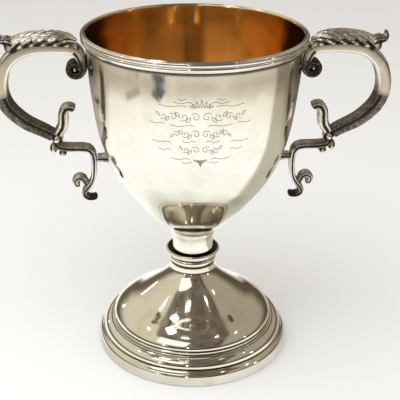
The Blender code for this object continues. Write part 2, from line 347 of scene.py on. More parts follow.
def gilt_material():
    """Mercury-gilt silver, burnished up and down inside the bowl: deep orange gold with fine upright lines."""
    material, tree = blank_material("burnished gilding")
    place = add_node(tree, "TexCoord").outputs["Object"]
    axes = add_node(tree, "SeparateXYZ", {0: place})
    around = add_node(tree, "Math", {0: axes.outputs["Y"], 1: axes.outputs["X"]}, "ARCTAN2")
    # One radian is about 55 mm of wall, so 75 makes the noise's cells about 0.7 mm wide, and 22 about 45 mm tall
    upright = add_node(tree, "Math", {0: around, 1: 75.0}, "MULTIPLY")
    down = add_node(tree, "Math", {0: axes.outputs["Z"], 1: 22.0}, "MULTIPLY")
    wall = add_node(tree, "CombineXYZ", {0: upright, 1: down})
    lines = add_node(tree, "TexNoise", {"Vector": wall, "Scale": 1.0, "Detail": 3.0, "Roughness": 0.6})
    broad = add_node(tree, "TexNoise", {"Vector": wall, "Scale": 0.14, "Detail": 2.0})
    thin = add_node(tree, "MapRange", {"Value": broad, "From Min": 0.3, "From Max": 0.7})
    colour = add_node(tree, "Mix", {0: thin, 6: linear("#F3D09C"), 7: linear("#F9DEB2")}, IN_COLOUR).outputs[2]
    rough = add_node(
        tree, "MapRange", {"Value": lines, "From Min": 0.3, "From Max": 0.7, "To Min": 0.07, "To Max": 0.14}
    )
    height = add_node(tree, "Bump", {"Strength": 0.6, "Distance": 0.008 * MM, "Height": lines})
    shader = add_node(
        tree, "BsdfPrincipled", {"Base Color": colour, "Metallic": 1.0, "Roughness": rough, "Normal": height}
    )
    add_node(tree, "OutputMaterial", {"Surface": shader})
    return material


# Outlines and paths


def smooth_path(points, count):
    """Evenly spaced points along the Catmull-Rom curve through the given ones."""
    given = np.array(points, float)
    ends = np.vstack([2 * given[0] - given[1], given, 2 * given[-1] - given[-2]])
    t = np.linspace(0, 1, 24, endpoint=False)[:, None]
    stretches = []
    for a, b, c, d in zip(ends, ends[1:], ends[2:], ends[3:]):
        cubic = (3 * b - a - 3 * c + d) * t**3
        stretches.append(0.5 * (2 * b + (c - a) * t + (2 * a - 5 * b + 4 * c - d) * t**2 + cubic))
    dense = np.vstack(stretches + [given[-1:]])
    steps = np.linalg.norm(np.diff(dense, axis=0), axis=1)
    travelled = np.concatenate([[0], np.cumsum(steps)])
    at = np.linspace(0, travelled[-1], count)
    return np.stack([np.interp(at, travelled, dense[:, axis]) for axis in (0, 1)], axis=1)


def normals_of(path):
    """Unit normals of a plane path, on the left of its direction."""
    ahead = np.gradient(path, axis=0)
    ahead /= np.linalg.norm(ahead, axis=1)[:, None]
    return np.stack([-ahead[:, 1], ahead[:, 0]], axis=1)


def arc(centre, radius, first, last, count):
    """Points on an arc, with its angles in degrees from the +X side."""
    angles = np.radians(np.linspace(first, last, count))
    ring = np.stack([np.cos(angles), np.sin(angles)], axis=1)
    return np.array(centre) + radius * ring


def along(count, *values):
    """Values spread evenly along a path of count points."""
    return np.interp(np.linspace(0, 1, count), np.linspace(0, 1, len(values)), values)


def run(points, hollow=0.0, count=None):
    """One stretch of an outline as rows of radius, height and hollow, smoothed where count is given."""
    line = smooth_path(points, count) if count else np.array(points, float)
    shade = np.broadcast_to(hollow, len(line)) if np.isscalar(hollow) else along(len(line), *hollow)
    return np.column_stack([line, shade])


# Meshes


def ring_faces(rings, size):
    """The faces between rings of points that follow each other, each ring of the same size."""
    faces = []
    for base in range(0, (rings - 1) * size, size):
        for k in range(size):
            after = (k + 1) % size
            faces.append((base + k, base + after, base + size + after, base + size + k))
    return faces


def finished(name, verts, faces, oxide_and_shade, materials, face_materials=None):
    """A smooth closed mesh at the origin with its faces outwards, and a point attribute of how dark it is painted:
    oxide in its hollows, and painted shade.
    """
    mesh = bpy.data.meshes.new(name)
    mesh.from_pydata([tuple(v) for v in np.asarray(verts) * MM], [], faces)
    for material in materials:
        mesh.materials.append(material)
    if face_materials is not None:
        mesh.polygons.foreach_set("material_index", face_materials)
    bm = bmesh.new()
    bm.from_mesh(mesh)
    if bm.calc_volume(signed=True) < 0:
        bmesh.ops.reverse_faces(bm, faces=bm.faces)
    bm.to_mesh(mesh)
    bm.free()
    shade = mesh.attributes.new("oxide_and_shade", "FLOAT", "POINT")
    shade.data.foreach_set("value", np.asarray(oxide_and_shade, np.float32))
    mesh.shade_smooth()
    mesh.set_sharp_from_angle(angle=math.radians(42))
    return placed(name, mesh)


def turned(name, runs, materials, steps=TURN_STEPS, inside_from=None, level=0.0):
    """A shape turned about the cup's axis from the runs of its outline, whose heights are counted from level.

    A point on the axis becomes a pole, and an outline with no pole closes on itself. Faces from outline point
    inside_from onwards take the second material.
    """
    outline = np.vstack(runs) + (0, level, 0)
    keep = np.concatenate([[True], np.linalg.norm(np.diff(outline[:, :2], axis=0), axis=1) > 1e-4])
    outline = outline[keep]
    angles = np.linspace(0, 2 * math.pi, steps, endpoint=False)
    verts, oxide_and_shade, rings = [], [], []
    for radius, height, hollow in outline:
        first = len(verts)
        if radius < 1e-6:
            verts.append((0, 0, height))
            oxide_and_shade.append(hollow)
            rings.append([first] * steps)
            continue
        verts.extend((radius * math.cos(a), radius * math.sin(a), height) for a in angles)
        oxide_and_shade.extend([hollow] * steps)
        rings.append(list(range(first, first + steps)))
    pairs = list(zip(range(len(rings)), range(1, len(rings))))
    if outline[0, 0] > 1e-6:
        pairs.append((len(rings) - 1, 0))
    faces, sides = [], []
    for near, far in pairs:
        for k in range(steps):
            after = (k + 1) % steps
            corners = [rings[near][k], rings[near][after], rings[far][after], rings[far][k]]
            faces.append(list(dict.fromkeys(corners)))
            sides.append(int(inside_from is not None and near >= inside_from))
    return finished(name, verts, faces, oxide_and_shade, materials, sides)


def lofted(name, path, sections, material, side="right"):
    """A solid along a path in the XZ plane. sections gives each point's ring as (across, sideways, hollow)."""
    verts, oxide_and_shade = [], []
    for point, normal, section in zip(path, normals_of(path), sections):
        for across, sideways, hollow in section:
            x, z = point + normal * across
            verts.append((x, sideways, z))
            oxide_and_shade.append(hollow)
    size = len(sections[0])
    faces = ring_faces(len(path), size)
    for ring, order in ((0, 1), (len(path) - 1, -1)):
        corners = range(ring * size, (ring + 1) * size)
        middle = np.mean([verts[c] for c in corners], axis=0)
        verts.append(tuple(middle))
        oxide_and_shade.append(float(np.mean([oxide_and_shade[c] for c in corners])))
        for k in range(size):
            pair = (corners[k], corners[(k + 1) % size])[::order]
            faces.append((*pair, len(verts) - 1))
    verts = np.array(verts)
    if side == "left":
        verts[:, :2] *= -1
    return finished(name, verts, faces, oxide_and_shade, [material])


def cast_section(depth, width, groove=0.0, squareness=0.55, sides=40, centre=0.0, soil=0.0):
    """Section of a cast strap with a groove down each flat side, as (across, sideways, hollow)."""
    ring = []
    for angle in np.linspace(0, 2 * math.pi, sides, endpoint=False):
        across = math.copysign(abs(math.cos(angle)) ** squareness, math.cos(angle)) * depth / 2
        sideways = math.copysign(abs(math.sin(angle)) ** squareness, math.sin(angle)) * width / 2
        dip = math.exp(-(((across - centre * depth) / (0.16 * depth)) ** 2)) * (abs(math.sin(angle)) > 0.6)
        sideways -= math.copysign(groove * dip, sideways)
        ring.append((across, sideways, max(soil, dip * (groove > 0))))
    return ring


def tapered(count, share=0.06):
    """Scale along a path that rounds off both of its ends."""
    t = np.linspace(0, 1, count)
    nearest = np.minimum(t, 1 - t) / share
    return np.sqrt(np.clip(1 - (1 - np.clip(nearest, 0, 1)) ** 2, 0.04, 1))


def drop(name, centre, half_sizes, material, side, swell):
    """A small cast leaflet or bead, fuller at its foot, as rings about an upright axis."""
    rows, steps = 28, 36
    verts, oxide_and_shade = [], []
    for t in np.linspace(0, math.pi, rows):
        width, height = math.sin(t) * (1 + swell * math.cos(t)), -math.cos(t)
        for angle in np.linspace(0, 2 * math.pi, steps, endpoint=False):
            rib = 1 + 0.07 * math.cos(4 * angle)
            verts.append(
                (
                    centre[0] + width * rib * half_sizes[0] * math.cos(angle),
                    width * rib * half_sizes[1] * math.sin(angle),
                    centre[1] + height * half_sizes[2],
                )
            )
            oxide_and_shade.append(0.35 - 0.375 * math.cos(4 * angle))
    verts = np.array(verts)
    if side == "left":
        verts[:, :2] *= -1
    made = finished(name, verts, ring_faces(rows, steps), oxide_and_shade, [material])
    bm = bmesh.new()
    bm.from_mesh(made.data)
    bmesh.ops.remove_doubles(bm, verts=bm.verts, dist=0.01 * MM)
    bmesh.ops.recalc_face_normals(bm, faces=bm.faces)
    bm.to_mesh(made.data)
    bm.free()
    return made


# The turned body


def build_body(outside, rims, stem, foot, gilt):
    """Bowl, rim moulding, stem and foot, each turned from its own outline."""
    side = smooth_path(BOWL_SIDE, WALL_POINTS)
    inner = side + normals_of(side) * BOWL_WALL
    inner[:, 1] = np.minimum(inner[:, 1], CUP_TOP - 0.45)
    # Painted shade: a dark band on the wall just under the rim moulding. The wall is also darker just above the
    # bowl's base.
    under_rim = 0.85 * np.exp(-(((side[:, 1] - CUP_TOP + 6.3) / 0.9) ** 2))
    shade = under_rim + 0.35 * np.exp(-((side[:, 1] - BOWL_BASE) / 1.5))
    lip = [(LIP_RADIUS - 0.2, CUP_TOP - 0.15), (LIP_RADIUS - BOWL_WALL / 2, CUP_TOP - 0.05)]
    outer_run = np.column_stack([side, shade])
    inner_run = np.column_stack([inner[::-1], np.zeros(len(inner))])
    outer_part = np.vstack([[(0, BOWL_BASE, 0.4)], outer_run])
    bowl = turned(
        "spun_bowl",
        [outer_part, run(lip), inner_run, [(0, inner[0, 1], 0)]],
        [outside, gilt],
        inside_from=len(outer_part) + 1,
    )
    piece(bowl, "bowl_silver", "bowl")

    reeds = [
        run([(LIP_RADIUS + SOLDER_GAP, -0.25), (56.45, -0.05), (56.8, 0)], 0, 8),
        run(arc((56.5, -1.3), 1.3, 86, -60, 24), (0, 0, 0, 0, 0.2)),
        run([(57.1, -2.45), (57.1, -2.6)], 0.3),
        run(arc((56.6, -3.5), 1.05, 60, -60, 18), (0.2, 0, 0, 0, 0.2)),
        # Painted shade: the moulding's lower curve and underside are darkened, meeting the dark band on the bowl
        # below.
        run([(56.9, -4.5), (56.6, -5.0), (56.2, -5.5)], (0.1, 0.3, 0.8), 8),
        run([(56.0, -5.8), (55.75, -5.8)], 0.9),
    ]
    rim = turned("reeded_rim", reeds, [rims], level=CUP_TOP)
    piece(rim, "rim_silver", "rim_moulding")

    neck = [
        run([(STEM_BORE, 0)], 0.5),
        run([(13.0, 0), (13.5, -0.35), (13.5, -0.8), (13.2, -1.2)], (0.3, 0, 0.1), 12),
        run([(12.8, -1.6), (12.6, -2.0)], (0.6, 0.2)),
        run([(12.35, -2.8), (12.05, -4.4), (11.5, -6.6), (11.2, -9.0), (11.15, -11.0)], (0.1, 0, 0, 0), 24),
        run([(11.35, -12.4), (11.5, -13.4), (11.45, -14.1), (10.9, -14.8)], (0, 0, 0.6), 12),
        run([(STEM_BORE, -14.8)], 1.0),
    ]
    piece(turned("stem_spool", neck, [stem], SMALL_TURN_STEPS, level=NECK_TOP), "stem_silver", "neck_spool")

    dish = [
        run([(STEM_BORE, 2.7)], 1.0),
        run([(11.4, 2.7), (12.3, 2.55), (13.2, 2.75), (13.8, 3.2)], 1.0, 12),
        run(arc((14.1, 2.8), 0.7, 120, -50, 14), (0.7, 0, 0, 0, 0.1)),
        run([(14.5, 1.6), (13.7, 0.7), (12.4, 0)], (0.1, 0.2, 0.8), 12),
        run([(STEM_BORE, 0)], 1.0),
    ]
    made = turned("stem_dish", dish, [stem], SMALL_TURN_STEPS, level=BEAD_TOP + SOLDER_GAP)
    piece(made, "stem_silver", "knop_dish")
    bead = [
        run([(STEM_BORE, BEAD_TOP)], 1.0),
        run(arc((11.0, (BEAD_TOP + BEAD_BASE) / 2), 1.95, 88, -88, 28), (0.9, 0.1, 0, 0.1, 0.9)),
        run([(STEM_BORE, BEAD_BASE)], 1.0),
    ]
    piece(turned("stem_bead", bead, [stem], SMALL_TURN_STEPS), "stem_silver", "knop_bead")

    dome = smooth_path(DOME_SIDE, 120)
    shade = np.exp(-(DOME_TOP - dome[:, 1]) / 1.0) * 0.8
    dome = np.column_stack([dome, shade])
    step = run([(44.6, 17.2), (44.6, 16.7), (44.3, 16.3)], (0.1, 0.3, 0.8), 8)
    fillet = run([(44.6, 15.9), (45.0, 15.7), (45.05, 15.2), (45.0, OVOLO_TOP + SOLDER_GAP)], (0.6, 0, 0, 0.4))
    top_line = np.vstack([dome, step, fillet])[:, :2]
    under = top_line - FOOT_WALL * np.array([0.75, 0.6])
    under[-1, 1] = top_line[-1, 1]
    under[:, 0] = np.maximum(under[:, 0], 10.8)
    under[0] = (11.3, DOME_TOP)
    foot_dome = [dome, step, fillet, np.column_stack([under[::-1], np.full(len(under), 0.5)])]
    piece(turned("domed_foot", foot_dome, [foot]), "foot_silver", "foot_dome")

    ovolo = [
        run([(43.4, OVOLO_TOP)], 1.0),
        run([(45.2, OVOLO_TOP), (45.75, OVOLO_TOP - 0.1), (45.9, OVOLO_TOP - 0.5)], (0.3, 0, 0.7), 8),
        run(arc((45.6, 9.0), 4.9, 83, 4, 34), (0.5, 0, 0, 0, 0, 0, 0.4)),
        run([(50.3, 9.0), (50.2, BASE_RING_TOP + SOLDER_GAP)], 0.8),
        run([(47.6, BASE_RING_TOP + SOLDER_GAP), (46.0, 11.4)], 0.8),
    ]
    piece(turned("ovolo_moulding", ovolo, [foot]), "foot_silver", "foot_ovolo_ring")

    edge = [(FOOT_RADIUS, 5.2), (FOOT_RADIUS, 0.9), (FOOT_RADIUS - 0.15, 0.35)]
    flange = [
        run([(47.8, BASE_RING_TOP + 0.2)], 1.0),
        run([(50.3, BASE_RING_TOP + 0.2), (50.8, BASE_RING_TOP), (51.5, 7.6), (52.3, 7.0)], (0.7, 0.1, 0, 0), 14),
        run([(52.8, 6.2), *edge, (FOOT_RADIUS - 0.6, 0.0)], (0, 0, 0, 0.1, 0.5), 30),
        run([(50.2, 0.0), (50.2, 6.0)], 0.6),
    ]
    piece(turned("foot_flange", flange, [foot]), "foot_silver", "foot_base_ring")
    return bowl


def piece(made, slot, *nodes):
    """Hides the solid pieces that a finished piece stands for, and fixes it to the cup. slot is not used."""
    if nodes:
        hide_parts(*nodes)
    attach(made, "root")


# The handles


def arch():
    """The strap's centre line over the arch and down to the waist, and its depth along the way."""
    return smooth_path(ARCH_LINE, ARCH_POINTS), along(ARCH_POINTS, *ARCH_DEPTHS)


def scroll_strap(side, silver):
    """The main C-scroll: a coil that opens into the arched strap. Its sides are grooved on the coil and low down."""
    first = 150 + 360 * VOLUTE_TURNS
    coil = arc(VOLUTE_CENTRE, 1.0, first, 150, COIL_POINTS)
    reach = VOLUTE_RADIUS * np.linspace(0.36, 1.0, COIL_POINTS)[:, None]
    coil = np.array(VOLUTE_CENTRE) + (coil - VOLUTE_CENTRE) * reach
    line, depths = arch()
    path = smooth_path([*coil[::3], *line[::4]], STRAP_POINTS)
    t = np.linspace(0, 1, STRAP_POINTS)
    depth = np.where(
        t < COIL_SHARE,
        np.interp(t, [0, COIL_SHARE * 0.5, COIL_SHARE], [2.4, 3.2, 3.9]),
        np.interp((t - COIL_SHARE) / (1 - COIL_SHARE), np.linspace(0, 1, len(ARCH_DEPTHS)), ARCH_DEPTHS),
    )
    width = along(STRAP_POINTS, 9.4, 9.4, 10.0, 10.0, 10.0, 9.5, 8.6, 7.6)
    soil = np.interp(t, [0, 0.1, 0.2, 0.26, 0.68, 0.72, 1.0], [0.6, 0.6, 0.55, 0.0, 0.0, 0.5, 0.55])
    ends = tapered(STRAP_POINTS, 0.012)
    groove = np.interp(t, [0, 0.2, 0.26, 0.72, 0.85, 1], [0.35, 0.35, 0.0, 0.0, 0.25, 0.3])
    sections = [
        cast_section(d * e, w * e, g, 0.36, 52, -0.16, s)
        for d, w, e, g, s in zip(depth, width, ends, groove, soil)
    ]
    return lofted(f"{side}_scroll_strap", path, sections, silver, side)


def leaf_lines():
    """The strap's outer face under the leaf, then the free tip: the line, and the leaf's rise above it."""
    line, depths = arch()
    raised = line + normals_of(line) * (depths[:, None] / 2 + SOLDER_GAP)
    on_strap = [point for point in raised if 59.5 < point[0] < 93.0 and point[1] > 160.0]
    path = smooth_path([*on_strap[::3], *LEAF_TIP_LINE], LEAF_POINTS)
    rise = along(LEAF_POINTS, 1.6, 3.3, 4.0, 4.2, 4.2, 4.2, 4.2, 4.2, 4.0, 2.6, 0.7)
    return path, rise


def leaf_body(side, chased):
    """The acanthus leaf's body: crowned over the strap, scalloped at its edges and wrapped down the strap's sides."""
    path, rise = leaf_lines()
    count = len(path)
    half = along(count, 4.4, 5.9, LEAF_HALF_WIDTH, LEAF_HALF_WIDTH, LEAF_HALF_WIDTH, 6.4, 6.3, 6.0, 5.4, 4.4, 2.2)
    crown = LEAF_CROWN + along(count, -0.8, 1.6, 2.4, 2.8, 2.8, 2.6, 2.4, 1.6, 0.0, -1.4, -2.9)
    on_strap = np.interp(np.linspace(0, 1, count), [0, 0.78, 0.86, 1], [1, 1, 0, 0])
    sweep = math.tan(math.radians(BLADE_SWEEP))
    sections = []
    for k in range(count):
        t = k / (count - 1)
        edge_phase = 2 * math.pi * (t * LEAF_LENGTH - LEAF_HALF_WIDTH / sweep) / BLADE_PITCH
        scallop = 1 + 0.05 * math.cos(edge_phase) * (t < 0.85)
        width = half[k] * scallop
        ring = []
        for s in np.linspace(-1, 1, 33):
            phase = 2 * math.pi * (t * LEAF_LENGTH - abs(s) * LEAF_HALF_WIDTH / sweep) / BLADE_PITCH
            flute = 0.3 * math.cos(phase) * min(1, 3 * abs(s))
            height = rise[k] - crown[k] * abs(s) ** CROWN_POWER * 0.92 + flute * (rise[k] > 1)
            # Oxide and painted shade: the leaf is darker in its flutes' troughs, towards its edges and on the faces
            # that wrap the strap.
            hollow = 0.42 - flute * 1.3 + 0.2 * abs(s) ** 6
            ring.append((max(height, -LEAF_WRAP * on_strap[k]), s * width, min(max(hollow, 0), 1)))
        lip = -LEAF_WRAP * on_strap[k]
        clear = max(width - 0.55, STRAP_CLEARANCE) if on_strap[k] > 0.5 else width * 0.8
        clear = min(clear, width - 0.1)
        top = 0.05 if on_strap[k] > 0.5 else -0.3
        for s, height in ((1, lip), (1, top), (0.5, top), (-0.5, top), (-1, top), (-1, lip)):
            ring.append((height, s * clear, 0.6))
        sections.append(ring)
    return lofted(f"{side}_leaf_body", path, sections, chased, side)


def blade_mesh(chased):
    """One blade of the leaf: a pointed, hollow-backed lobe along +X with its root at the origin."""
    rows, sides = 12, 10
    verts, shade = [], []
    for row in range(rows):
        t = row / (rows - 1)
        width = BLADE_WIDTH / 2 * (0.25 + 1.35 * t**0.7 * (1 - t**4) ** 0.8)
        height = BLADE_HEIGHT * (0.35 + 0.75 * math.sin(math.pi * t**0.8)) * (1 - 0.5 * t**6)
        for k in range(sides):
            angle = 2 * math.pi * k / sides
            top = math.sin(angle)
            hollow_back = 0.22 * math.cos(angle) ** 2 if top > 0 else 0
            z = height * (max(top, -0.35) - hollow_back + 0.18 * hollow_back)
            verts.append((t * BLADE_LENGTH * MM, width * math.cos(angle) * MM, z * MM))
            # Painted shade: each blade is light on top and darker underneath.
            shade.append(min(1.0, max(0.0, 0.6 - 1.1 * max(top, 0))))
    faces = [(a, d, c, b) for a, b, c, d in ring_faces(rows, sides)]
    faces.append(tuple(range(sides)))
    faces.append(tuple(reversed(range((rows - 1) * sides, rows * sides))))
    mesh = bpy.data.meshes.new("leaf_blade")
    mesh.from_pydata(verts, [], faces)
    mesh.materials.append(chased)
    mesh.attributes.new("oxide_and_shade", "FLOAT", "POINT").data.foreach_set("value", shade)
    mesh.shade_smooth()
    return mesh


def group_inputs(tree, named):
    """Adds the named inputs to a geometry tree and returns each one's identifier."""
    made = {}
    for name, kind in named:
        made[name] = tree.interface.new_socket(name=name, in_out="INPUT", socket_type="NodeSocket" + kind).identifier
    tree.interface.new_socket(name="Geometry", in_out="OUTPUT", socket_type="NodeSocketGeometry")
    return made


def blades_tree(chased):
    """Lays a row of swept blades on each side of a line, then bends them over the leaf's crown along its crest."""
    tree = bpy.data.node_groups.new("chased_blades", "GeometryNodeTree")
    names = group_inputs(
        tree,
        [
            ("Geometry", "Geometry"),
            ("Crest line", "Object"),
            ("Blades per side", "Int"),
            ("First blade", "Float"),
            ("Pitch", "Float"),
            ("Sweep", "Float"),
            ("Half width", "Float"),
            ("Crown", "Float"),
        ],
    )
    given = add_node(tree, "NodeGroupInput").outputs
    start = add_node(tree, "CombineXYZ", {"X": given["First blade"]})
    offset = add_node(tree, "CombineXYZ", {"X": given["Pitch"]})
    row = add_node(
        tree,
        "GeometryNodeMeshLine",
        {"Count": given["Blades per side"], "Start Location": start, "Offset": offset},
        {"mode": "OFFSET"},
    )
    turn = add_node(tree, "CombineXYZ", {"Z": given["Sweep"]})
    spin = add_node(tree, "FunctionNodeEulerToRotation", {0: turn})
    index = add_node(tree, "GeometryNodeInputIndex")
    share = add_node(tree, "Math", {0: index, 1: given["Blades per side"]}, "DIVIDE")
    size = add_node(
        tree, "MapRange", {"Value": share, "From Min": 0.4, "From Max": 1.0, "To Min": 1.0, "To Max": 0.72}
    )
    laid = add_node(
        tree,
        "GeometryNodeInstanceOnPoints",
        {"Points": row, "Instance": given["Geometry"], "Rotation": spin, "Scale": size},
    )
    real = add_node(tree, "GeometryNodeRealizeInstances", {0: laid})
    across = add_node(tree, "GeometryNodeTransform", {"Geometry": real, "Scale": (1, -1, 1)})
    righted = add_node(tree, "GeometryNodeFlipFaces", {0: across})
    both = add_node(tree, "GeometryNodeJoinGeometry")
    tree.links.new(real.outputs[0], both.inputs[0])
    tree.links.new(righted.outputs[0], both.inputs[0])

    place = add_node(tree, "GeometryNodeInputPosition")
    axes = add_node(tree, "SeparateXYZ", {0: place})
    crest = add_node(tree, "GeometryNodeObjectInfo", {"Object": given["Crest line"]})
    sample = add_node(
        tree,
        "GeometryNodeSampleCurve",
        {"Curves": crest.outputs["Geometry"], "Length": axes.outputs["X"]},
        {"mode": "LENGTH", "use_all_curves": False},
    )
    out = add_node(tree, "VectorMath", {0: sample.outputs["Tangent"], 1: (0.0, 1.0, 0.0)}, "CROSS_PRODUCT")
    reach = add_node(tree, "Math", {0: axes.outputs["Y"], 1: given["Half width"]}, "DIVIDE")
    reach = add_node(tree, "Math", {0: reach}, "ABSOLUTE")
    fall = add_node(tree, "Math", {0: reach, 1: CROWN_POWER}, "POWER")
    fall = add_node(tree, "Math", {0: fall, 1: given["Crown"]}, "MULTIPLY")
    height = add_node(tree, "Math", {0: axes.outputs["Z"], 1: fall}, "SUBTRACT")
    lift = add_node(tree, "VectorMath", {0: out, "Scale": height}, "SCALE")
    sideways = add_node(tree, "CombineXYZ", {"Y": axes.outputs["Y"]})
    on_crest = add_node(tree, "VectorMath", {0: sample.outputs["Position"], 1: lift}, "ADD")
    bent = add_node(tree, "VectorMath", {0: on_crest, 1: sideways}, "ADD")
    wrapped = add_node(tree, "GeometryNodeSetPosition", {"Geometry": both, "Position": bent})
    flat = add_node(tree, "GeometryNodeRealizeInstances", {0: wrapped})
    done = add_node(tree, "GeometryNodeSetMaterial", {"Geometry": flat, "Material": chased})
    add_node(tree, "NodeGroupOutput", {0: done})
    return tree, names


def poly_curve(name, lines):
    """A curve object from lines of (x, y, z) in millimetres."""
    data = bpy.data.curves.new(name, "CURVE")
    data.dimensions = "3D"
    for line in lines:
        spline = data.splines.new("POLY")
        spline.points.add(len(line) - 1)
        for point, (x, y, z) in zip(spline.points, line):
            point.co = (x * MM, y * MM, z * MM, 1)
    return placed(name, data)


def grown(name, source, tree, names, values):
    """Runs a geometry tree on an object and returns the result as a plain mesh object at the origin."""
    modifier = source.modifiers.new("Grow", "NODES")
    modifier.node_group = tree
    for label, value in values.items():
        modifier[names[label]] = value
    bpy.context.view_layer.update()
    result = source.evaluated_get(bpy.context.evaluated_depsgraph_get())
    mesh = bpy.data.meshes.new_from_object(result)
    mesh.name = name
    source.modifiers.remove(modifier)
    bpy.data.objects.remove(source)
    mesh.shade_smooth()
    return placed(name, mesh)


def turned_round(made, name):
    """The left handle's copy of a right handle's piece, half a turn about the cup's axis."""
    mesh = made.data.copy()
    for vertex in mesh.vertices:
        vertex.co.x *= -1
        vertex.co.y *= -1
    return placed(name, mesh)


def leaf_blades(chased):
    """The blades of both leaves."""
    path, rise = leaf_lines()
    crest = path + normals_of(path) * (rise[:, None] - 0.15)
    guide = poly_curve("crest_line", [[(x, 0, z) for x, z in crest]])
    single = placed("single_blade", blade_mesh(chased))
    tree, names = blades_tree(chased)
    right = grown(
        "right_leaf_blades",
        single,
        tree,
        names,
        {
            "Crest line": guide,
            "Blades per side": BLADES_PER_SIDE,
            "First blade": -1.4 * MM,
            "Pitch": BLADE_PITCH * MM,
            "Sweep": math.radians(BLADE_SWEEP),
            "Half width": LEAF_HALF_WIDTH * MM,
            "Crown": (LEAF_CROWN + 2.2) * MM,
        },
    )
    bpy.data.objects.remove(guide)
    return right, turned_round(right, "left_leaf_blades")


def cast_strap(line, count, depths, widths, soils, groove, round_off, sides, squareness=0.5):
    """The path and sections of a cast strap. round_off is the share of its length over which each end is rounded."""
    ends = tapered(count, round_off) if round_off else np.ones(count)
    along_it = zip(along(count, *depths) * ends, along(count, *widths) * ends, along(count, *soils))
    return smooth_path(line, count), [cast_section(d, w, groove, squareness, sides, 0.0, s) for d, w, s in along_it]


def build_handle(side, strap, chased):
    """The cast pieces of one handle, soldered together and to the bowl."""
    piece(scroll_strap(side, strap), "strap_silver", f"{side}_main_scroll")
    piece(leaf_body(side, chased), "chased_silver", f"{side}_acanthus_leaf")

    for name, line, count, depths, widths, soils, groove, round_off, sides, solid in CAST_STRAPS:
        metal, slot = (strap, "strap_silver") if name == "lower_strap" else (chased, "chased_silver")
        shape = cast_strap(line, count, depths, widths, soils, groove, round_off, sides)
        piece(lofted(f"{side}_{name}", *shape, metal, side), slot, f"{side}_{solid}")

    for name, centre, half_sizes, swell, nodes in DROPS:
        made = drop(f"{side}_{name}", centre, half_sizes, chased, side, swell)
        piece(made, "chased_silver", *[f"{side}_{node}" for node in nodes])

    wall = smooth_path(BOWL_SIDE, WALL_POINTS)
    at_wall = np.interp([LUG_LOW, (LUG_LOW + LUG_HIGH) / 2, LUG_HIGH], wall[:, 1], wall[:, 0]).mean() + SOLDER_GAP
    line = ((at_wall, (LUG_LOW + LUG_HIGH) / 2), (48.8, 111.2), (51.1, 111.2))
    lug = cast_strap(line, 30, (5.4, 4.3, 3.7, 3.7), (7.4, 6.3, 6.0, 6.2), (0.4,), 0.2, 0, 36, squareness=0.6)
    piece(lofted(f"{side}_lug", *lug, strap, side), "strap_silver", f"{side}_wall_lug")


# The engraving


def spiral(centre, size, turns, start, hand=1, count=30):
    """A spiral that opens from its centre, as points of (x, z)."""
    t = np.linspace(0, 1, count)
    angle = start + hand * 2 * math.pi * turns * t
    radius = size * (0.12 + 0.88 * t)
    return np.stack([centre[0] + radius * np.cos(angle), centre[1] + radius * np.sin(angle)], axis=1)


def petal(root, angle, length, bulge):
    """One engraved petal: out along one side and back along the other."""
    t = np.linspace(0, 1, 9)
    out = np.stack([length * t, bulge * np.sin(math.pi * t)], axis=1)
    back = np.stack([length * t[::-1], -bulge * np.sin(math.pi * t[::-1])], axis=1)
    line = np.vstack([out, back])
    c, s = math.cos(angle), math.sin(angle)
    return np.stack([root[0] + c * line[:, 0] - s * line[:, 1], root[1] + s * line[:, 0] + c * line[:, 1]], axis=1)


def running_scrolls(height, half_length, size):
    """A row of scrolls that turn up and down by turns, growing smaller away from the middle."""
    strokes = []
    x, k = size * 1.1, 0
    while x < half_length:
        scale = size * (1 - 0.35 * x / half_length)
        hand = 1 if k % 2 else -1
        for mirror in (1, -1):
            curl = spiral((x, height), scale, 1.15, -hand * math.pi / 2, hand)
            leaf = petal((x + scale * 0.9, height), hand * 0.9, scale * 1.5, scale * 0.3)
            for line in (curl, leaf):
                strokes.append(line * (mirror, 1))
        x += scale * 2.3
        k += 1
    return strokes


def cartouche():
    """The engraved ornament on the front: rows of scrolls, a fan over and under them, and long loose strokes."""
    strokes = []
    for height, half_length, size in SCROLL_ROWS:
        strokes += running_scrolls(height, half_length, size)
    for height, up in FANS:
        for k in range(-3, 4):
            strokes.append(petal((k * 1.1, height), up * math.pi / 2 - k * 0.4, 4.0 - 0.5 * abs(k), 0.45))
    for height, first, last in FLOURISHES:
        x = np.linspace(first, last, 30)
        line = np.stack([x, height + 0.35 * np.sin((x - first) * 2.4 * math.pi / (last - first))], axis=1)
        strokes += [line, line * (-1, 1)]
    return strokes


